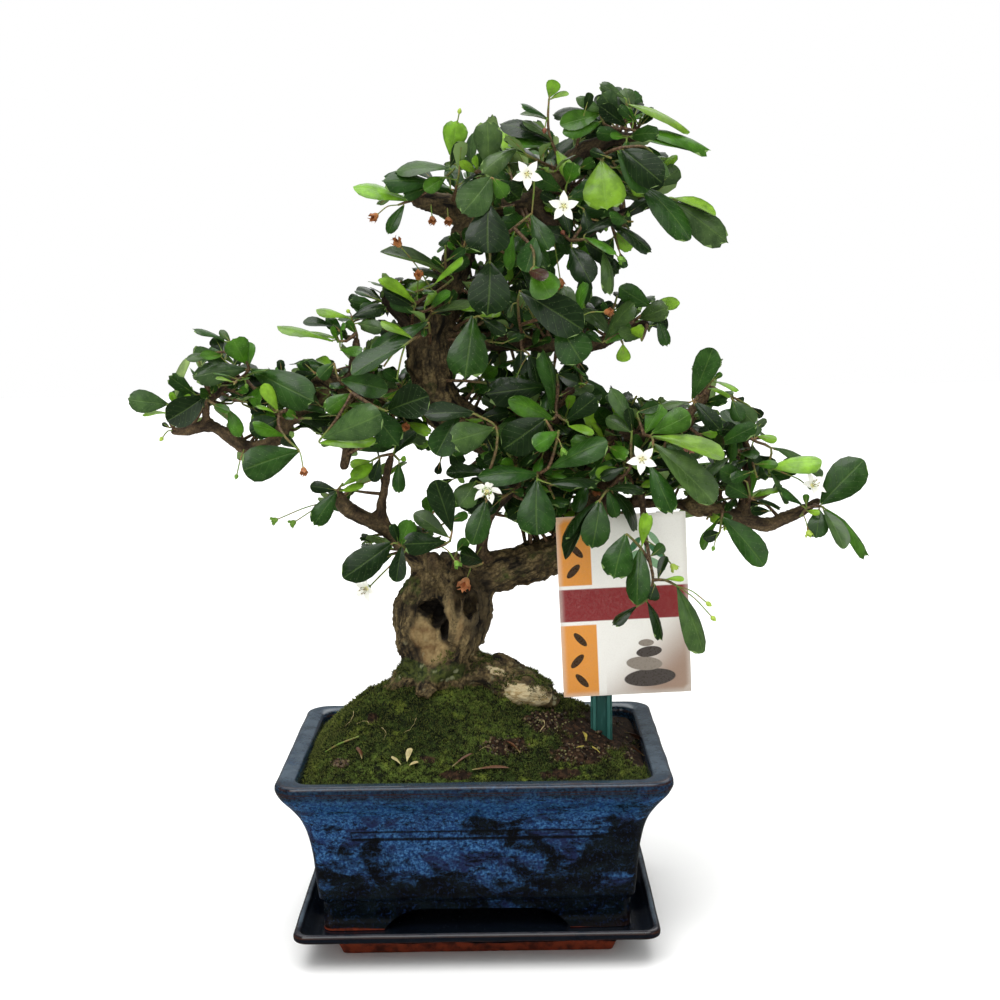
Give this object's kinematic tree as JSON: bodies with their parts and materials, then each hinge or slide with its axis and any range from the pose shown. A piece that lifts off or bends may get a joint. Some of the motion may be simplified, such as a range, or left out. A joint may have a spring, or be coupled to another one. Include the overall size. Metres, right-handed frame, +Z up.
{
  "type": "fukien tea bonsai",
  "caption": "Small flowering bonsai tree with a curved trunk, glossy green leaves and white flowers, in a blue glazed pot with moss, a drip tray and a plant label.",
  "frame": {"origin": "centre of the tray's flat foot, on the table", "axes": "+Z up; +Y from the front of the pot, the side with the label, to the back; +X to the right seen from the front"},
  "size_m": [0.3837, 0.1782, 0.4431],
  "materials": {
    "pot_glaze": "glossy cobalt blue glaze, mottled with lighter and near-black patches, worn brown at the edges",
    "tray_glaze": "glossy blue-black glaze over a terracotta foot",
    "drain_plastic": "matt",
    "soil": "crumbly and damp",
    "moss": "soft tufts, mid to dark green with yellow-green tips",
    "bark": "rough grey-brown bark with dark fissures",
    "leaf": "waxy, satin to glossy",
    "petal": "soft matt white",
    "card": "glossy print in white, orange and dark red",
    "stake_plastic": "dark green, ribbed"
  },
  "bodies": {
    "root": {"drip_tray": "tray_glaze", "pot": "pot_glaze", "drain_mesh_left": "drain_plastic", "drain_mesh_right": "drain_plastic", "soil": "soil", "moss": "moss", "trunk_with_limbs": "bark", "flower_crown_left": "petal", "flower_crown_right": "petal", "flower_right": "petal", "flower_centre": "petal", "flower_right_tip": "petal", "flower_low_left": "petal", "spray_crown_sprout": "leaf", "spray_crown_top_right": "leaf", "spray_crown_shoulder": "leaf", "spray_crown_hanging": "leaf", "spray_crown_left_tip": "leaf", "spray_crown_left_upper": "leaf", "spray_crown_front": "leaf", "spray_crown_lower": "leaf", "spray_crown_inner_right": "leaf", "spray_middle_left": "leaf", "spray_middle_front": "leaf", "spray_middle_big": "leaf", "spray_middle_right_end": "leaf", "spray_left_tip": "leaf", "spray_left_upper": "leaf", "spray_left_ring": "leaf", "spray_left_inner": "leaf", "spray_left_shoulder": "leaf", "spray_left_long": "leaf", "spray_left_fan": "leaf", "spray_low_left_tip": "leaf", "spray_low_left_riser": "leaf", "spray_low_left_front": "leaf", "spray_heart": "leaf", "spray_centre_front": "leaf", "spray_centre_top": "leaf", "spray_centre_right": "leaf", "spray_right_front": "leaf", "spray_right_top": "leaf", "spray_right_riser": "leaf", "spray_right_stem": "leaf", "spray_right_tip": "leaf", "spray_right_low": "leaf", "spray_label_front": "leaf", "spray_low_middle": "leaf", "spray_back_crown": "leaf", "spray_back_crown_right": "leaf", "spray_back_middle": "leaf", "spray_back_left": "leaf", "spray_back_right": "leaf", "spray_back_low": "leaf", "label_card": "card", "label_stake": "stake_plastic"}
  },
  "joints": []
}
